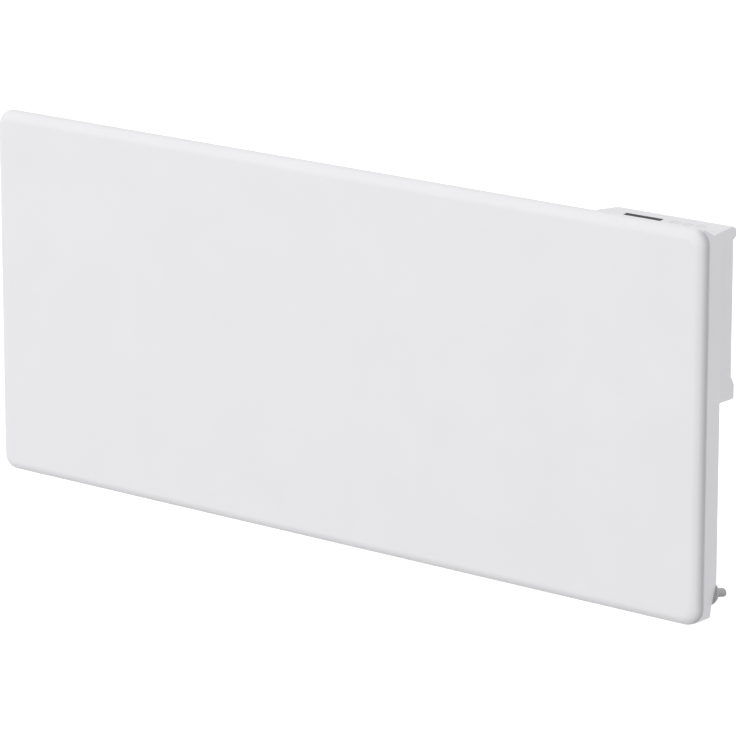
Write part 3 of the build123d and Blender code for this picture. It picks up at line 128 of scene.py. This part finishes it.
def make_world():
    """A white surround that lights the heater evenly from all round."""
    world = bpy.data.worlds.new("studio")
    world.use_nodes = True
    bpy.context.scene.world = world
    tree = world.node_tree
    background = tree.nodes["Background"]
    background.inputs["Color"].default_value = WHITE
    level = map_range(tree, seen_directly(tree), (0.0, 1.0), (AMBIENT, BACKDROP))
    tree.links.new(level, background.inputs["Strength"])


def make_floor():
    """A pale floor that takes the object's shadow and goes over into the white surround."""
    bpy.ops.mesh.primitive_plane_add(size=FLOOR_SIZE, location=(0.0, 0.0, FLOOR_HEIGHT))
    floor = bpy.context.object
    floor.name = "floor"
    material = bpy.data.materials.new("floor")
    material.use_nodes = True
    tree = material.node_tree
    nodes = tree.nodes
    links = tree.links
    nodes.clear()
    matt = nodes.new("ShaderNodeBsdfDiffuse")
    matt.inputs["Color"].default_value = (FLOOR_TONE, FLOOR_TONE, FLOOR_TONE, 1.0)
    glow = nodes.new("ShaderNodeEmission")
    glow.inputs["Color"].default_value = WHITE
    reach = nodes.new("ShaderNodeVectorMath")
    reach.operation = "LENGTH"
    links.new(nodes.new("ShaderNodeTexCoord").outputs["Object"], reach.inputs[0])
    lift = map_range(tree, reach.outputs["Value"], FLOOR_POOL, (FLOOR_LIFT, BACKDROP), "SMOOTHSTEP")
    links.new(calculate(tree, "MULTIPLY", lift, seen_directly(tree)), glow.inputs["Strength"])
    both = nodes.new("ShaderNodeAddShader")
    output = nodes.new("ShaderNodeOutputMaterial")
    links.new(matt.outputs[0], both.inputs[0])
    links.new(glow.outputs[0], both.inputs[1])
    links.new(both.outputs[0], output.inputs["Surface"])
    floor.data.materials.append(material)


# ------------------------------------------------------------------ materials

# Nearly all of a noise texture's values lie between these two
NOISE_SPAN = (0.3, 0.7)


class Surface:
    """A Principled material with object coordinates, built up from a few procedural layers."""

    def __init__(self, name, colour, roughness, metallic=0.0, specular=0.5):
        self.material = bpy.data.materials.new(name)
        self.material.use_nodes = True
        self.tree = self.material.node_tree
        self.nodes = self.tree.nodes
        self.links = self.tree.links
        self.shader = self.nodes["Principled BSDF"]
        self.colour = colour
        self.shader.inputs["Base Color"].default_value = (*colour, 1.0)
        self.shader.inputs["Roughness"].default_value = roughness
        self.shader.inputs["Metallic"].default_value = metallic
        self.shader.inputs["Specular IOR Level"].default_value = specular
        self.place = self.nodes.new("ShaderNodeTexCoord").outputs["Object"]
        self.material.diffuse_color = (*colour, 1.0)

    def noise(self, scale, detail=2.0, stretch=(1.0, 1.0, 1.0)):
        """Noise with scale spots to the metre. A stretch below 1 draws them out along that axis."""
        mapping = self.nodes.new("ShaderNodeMapping")
        mapping.inputs["Scale"].default_value = stretch
        self.links.new(self.place, mapping.inputs["Vector"])
        texture = self.nodes.new("ShaderNodeTexNoise")
        texture.inputs["Scale"].default_value = scale
        texture.inputs["Detail"].default_value = detail
        self.links.new(mapping.outputs["Vector"], texture.inputs["Vector"])
        return texture.outputs["Fac"]

    def cells(self, scale):
        """Flat patches, scale of them to the metre, each with a value of its own."""
        texture = self.nodes.new("ShaderNodeTexVoronoi")
        texture.inputs["Scale"].default_value = scale
        self.links.new(self.place, texture.inputs["Vector"])
        return texture.outputs["Color"]

    def roughen(self, value, low, high):
        """Lets a pattern move the roughness from low to high."""
        roughness = map_range(self.tree, value, NOISE_SPAN, (low, high))
        self.links.new(roughness, self.shader.inputs["Roughness"])

    def paint(self, value, low, high, span=(0.0, 1.0), interpolation="LINEAR"):
        """Colours the surface from low to high while the value goes through the span."""
        ramp = self.nodes.new("ShaderNodeValToRGB")
        ramp.color_ramp.interpolation = interpolation
        for element, position, colour in zip(ramp.color_ramp.elements, span, (low, high)):
            element.position = position
            element.color = (*colour, 1.0)
        self.links.new(value, ramp.inputs["Fac"])
        self.links.new(ramp.outputs["Color"], self.shader.inputs["Base Color"])

    def tint(self, value, darker, lighter):
        """Lets a pattern move the colour between two shares of itself."""
        low = [c * darker for c in self.colour]
        high = [min(1.0, c * lighter) for c in self.colour]
        self.paint(value, low, high, NOISE_SPAN)

    def paint_shade_on_ends(self, across, depth, share):
        """Paints shade into the colour: darkens what lies past a place on either side and gradually
        behind a depth.
        """
        place = self.nodes.new("ShaderNodeSeparateXYZ")
        self.links.new(self.place, place.inputs["Vector"])
        side = calculate(self.tree, "ABSOLUTE", place.outputs["X"])
        outward = map_range(self.tree, side, across)
        inward = map_range(self.tree, place.outputs["Y"], depth)
        mix = self.nodes.new("ShaderNodeMixRGB")
        mix.blend_type = "MULTIPLY"
        mix.inputs["Color2"].default_value = (share, share, share, 1.0)
        colour = self.shader.inputs["Base Color"]
        self.links.new(calculate(self.tree, "MULTIPLY", outward, inward), mix.inputs["Fac"])
        self.links.new(colour.links[0].from_socket, mix.inputs["Color1"])
        self.links.new(mix.outputs["Color"], colour)

    def bump(self, value, height, strength):
        """Adds relief of that height, in metres, over any relief already there."""
        relief = self.nodes.new("ShaderNodeBump")
        relief.inputs["Strength"].default_value = strength
        relief.inputs["Distance"].default_value = height
        self.links.new(value, relief.inputs["Height"])
        normal = self.shader.inputs["Normal"]
        if normal.is_linked:
            self.links.new(normal.links[0].from_socket, relief.inputs["Normal"])
        self.links.new(relief.outputs["Normal"], normal)


def powder_coat(name, colour, rim=None):
    """Baked powder coat: satin, with a fine orange peel and a long, faint unevenness, and, where
    asked, painted shade on the panel's ends.
    """
    coat = Surface(name, colour, roughness=0.42, specular=0.35)
    coat.tint(coat.noise(14.0), darker=0.988, lighter=1.006)
    # Painted shade: darkens the coat's colour at the panel's ends
    if rim:
        coat.paint_shade_on_ends(**rim)
    coat.roughen(coat.noise(90.0), low=0.38, high=0.46)
    coat.bump(coat.noise(620.0, detail=1.0), height=0.00006, strength=0.5)
    coat.bump(coat.noise(2600.0, detail=1.0), height=0.00001, strength=0.5)
    return coat.material


def moulded(name, colour, roughness, grain=2400.0):
    """Moulded plastic with a fine spark-eroded grain, or ceramic with a coarser one."""
    plastic = Surface(name, colour, roughness)
    plastic.tint(plastic.noise(22.0), darker=0.985, lighter=1.01)
    plastic.roughen(plastic.noise(160.0), low=roughness - 0.04, high=roughness + 0.05)
    plastic.bump(plastic.noise(grain, detail=3.0), height=0.00002, strength=0.6)
    return plastic.material


def glossy(name, colour, specular=0.2):
    """A smooth hard window or rocker, with the faintest ripple."""
    surface = Surface(name, colour, roughness=0.08, specular=specular)
    surface.roughen(surface.noise(300.0), low=0.06, high=0.12)
    surface.tint(surface.noise(60.0), darker=0.9, lighter=1.1)
    surface.bump(surface.noise(120.0, detail=0.0), height=0.00001, strength=0.3)
    return surface.material


def galvanised(name, colour):
    """Hot-dip galvanised sheet: soft spangle and rolling lines."""
    zinc = Surface(name, colour, roughness=0.42, metallic=0.9)
    spangle = zinc.cells(140.0)
    zinc.tint(spangle, darker=0.86, lighter=1.08)
    zinc.roughen(spangle, low=0.34, high=0.55)
    zinc.bump(zinc.noise(700.0, stretch=(0.08, 1.0, 1.0)), height=0.00002, strength=0.4)
    return zinc.material


def plated(name, colour):
    """Small plated steel or brass parts, slightly clouded."""
    metal = Surface(name, colour, roughness=0.32, metallic=1.0)
    metal.tint(metal.noise(400.0), darker=0.9, lighter=1.06)
    metal.roughen(metal.noise(900.0), low=0.26, high=0.4)
    metal.bump(metal.noise(1800.0), height=0.00001, strength=0.4)
    return metal.material


def extruded(name, colour):
    """Extruded aluminium, with die lines along its length."""
    metal = Surface(name, colour, roughness=0.38, metallic=1.0)
    lines = metal.noise(1500.0, stretch=(0.004, 1.0, 1.0))
    metal.tint(lines, darker=0.9, lighter=1.05)
    metal.roughen(metal.noise(60.0), low=0.33, high=0.46)
    metal.bump(lines, height=0.00002, strength=0.6)
    return metal.material


def heated(name, colour, straw, blue):
    """A stainless tube with straw and blue heat tints."""
    tube = Surface(name, colour, roughness=0.35, metallic=1.0)
    tube.paint(tube.noise(45.0, stretch=(0.4, 1.0, 1.0)), straw, blue)
    tube.bump(tube.noise(1600.0, stretch=(1.0, 0.05, 0.05)), height=0.00001, strength=0.4)
    return tube.material


def soft_rubber(name, colour, roughness=0.62):
    """Rubber, silicone or lead insulation, matt with a slight bloom."""
    rubber = Surface(name, colour, roughness)
    rubber.tint(rubber.noise(80.0), darker=0.9, lighter=1.12)
    rubber.roughen(rubber.noise(200.0), low=roughness - 0.08, high=roughness + 0.1)
    rubber.bump(rubber.noise(1500.0, detail=3.0), height=0.00003, strength=0.5)
    return rubber.material


def striped(name, colour, stripe):
    """Earth lead insulation: slanting bands of a second colour over the first."""
    lead = Surface(name, colour, roughness=0.55)
    wave = lead.nodes.new("ShaderNodeTexWave")
    wave.inputs["Scale"].default_value = 60.0
    wave.bands_direction = "DIAGONAL"
    lead.links.new(lead.place, wave.inputs["Vector"])
    lead.paint(wave.outputs["Fac"], colour, stripe, span=(0.0, 0.55), interpolation="CONSTANT")
    lead.bump(lead.noise(900.0), height=0.00002, strength=0.4)
    return lead.material


def circuit_board(name, colour):
    """Green solder mask with faint copper tracks under it."""
    board = Surface(name, colour, roughness=0.35)
    tracks = board.nodes.new("ShaderNodeTexBrick")
    tracks.inputs["Scale"].default_value = 110.0
    tracks.inputs["Mortar Size"].default_value = 0.03
    for socket, share in (("Color1", 1.0), ("Color2", 0.9), ("Mortar", 1.5)):
        tracks.inputs[socket].default_value = (*[c * share for c in colour], 1.0)
    turned = board.nodes.new("ShaderNodeMapping")
    turned.inputs["Rotation"].default_value = (math.radians(90.0), 0.0, 0.0)
    board.links.new(board.place, turned.inputs["Vector"])
    board.links.new(turned.outputs["Vector"], tracks.inputs["Vector"])
    board.links.new(tracks.outputs["Color"], board.shader.inputs["Base Color"])
    board.bump(tracks.outputs["Fac"], height=0.00003, strength=0.5)
    return board.material


# Painted shade on the panel's ends, which turn grey: from and to how far out, from and to how deep,
# and by what share
PANEL_RIM_PAINTED_SHADE = {"across": (0.4190, 0.4265), "depth": (-0.0722, -0.0652), "share": 0.62}

# slot: what makes its material, the colour, and whatever else that takes, in its order
MATERIALS = {
    # The panel's paint carries painted shade at its ends
    "panel_paint": (powder_coat, (0.857, 0.852, 0.876), PANEL_RIM_PAINTED_SHADE),
    "casing_paint": (powder_coat, (0.878, 0.872, 0.902)),
    "box_plastic": (moulded, (0.862, 0.862, 0.884), 0.48),
    "key_plastic": (moulded, (0.82, 0.82, 0.83), 0.45),
    "display_black": (glossy, (0.004, 0.004, 0.005), 0.06),
    "rocker_black": (glossy, (0.012, 0.012, 0.013)),
    "inner_plastic": (moulded, (0.62, 0.61, 0.57), 0.5),
    "spacer_plastic": (moulded, (0.42, 0.42, 0.43), 0.5),
    "galvanised": (galvanised, (0.62, 0.63, 0.64)),
    "zinc_steel": (plated, (0.62, 0.62, 0.60)),
    "fin_aluminium": (extruded, (0.74, 0.75, 0.76)),
    "tube_steel": (heated, (0.3, 0.27, 0.22), (0.30, 0.24, 0.16), (0.24, 0.25, 0.33)),
    "ceramic": (moulded, (0.78, 0.75, 0.68), 0.35, 900.0),
    "bush_silicone": (soft_rubber, (0.36, 0.05, 0.025)),
    "inlet_rubber": (soft_rubber, (0.018, 0.018, 0.018)),
    "phenolic": (moulded, (0.02, 0.02, 0.021), 0.4),
    "brass": (plated, (0.70, 0.50, 0.22)),
    "lead_brown": (soft_rubber, (0.10, 0.035, 0.014), 0.5),
    "lead_white": (soft_rubber, (0.72, 0.72, 0.70), 0.5),
    "lead_earth": (striped, (0.06, 0.25, 0.03), (0.75, 0.60, 0.03)),
    "lead_grey": (soft_rubber, (0.12, 0.12, 0.13), 0.5),
    "board_green": (circuit_board, (0.015, 0.10, 0.04)),
}


def dress():
    """Gives each node the material of its slot."""
    made = {slot: make(slot, *details) for slot, (make, *details) in MATERIALS.items()}
    for subpart in frame["record"]["subparts"]:
        node = frame["nodes"][subpart["node"]]
        node.data.materials.clear()
        node.data.materials.append(made[subpart["material_slot"]])


add_camera()
for lamp_name, details in LAMPS.items():
    add_lamp(lamp_name, *details)
make_world()
make_floor()
dress()
bpy.context.scene.view_settings.view_transform = "Standard"
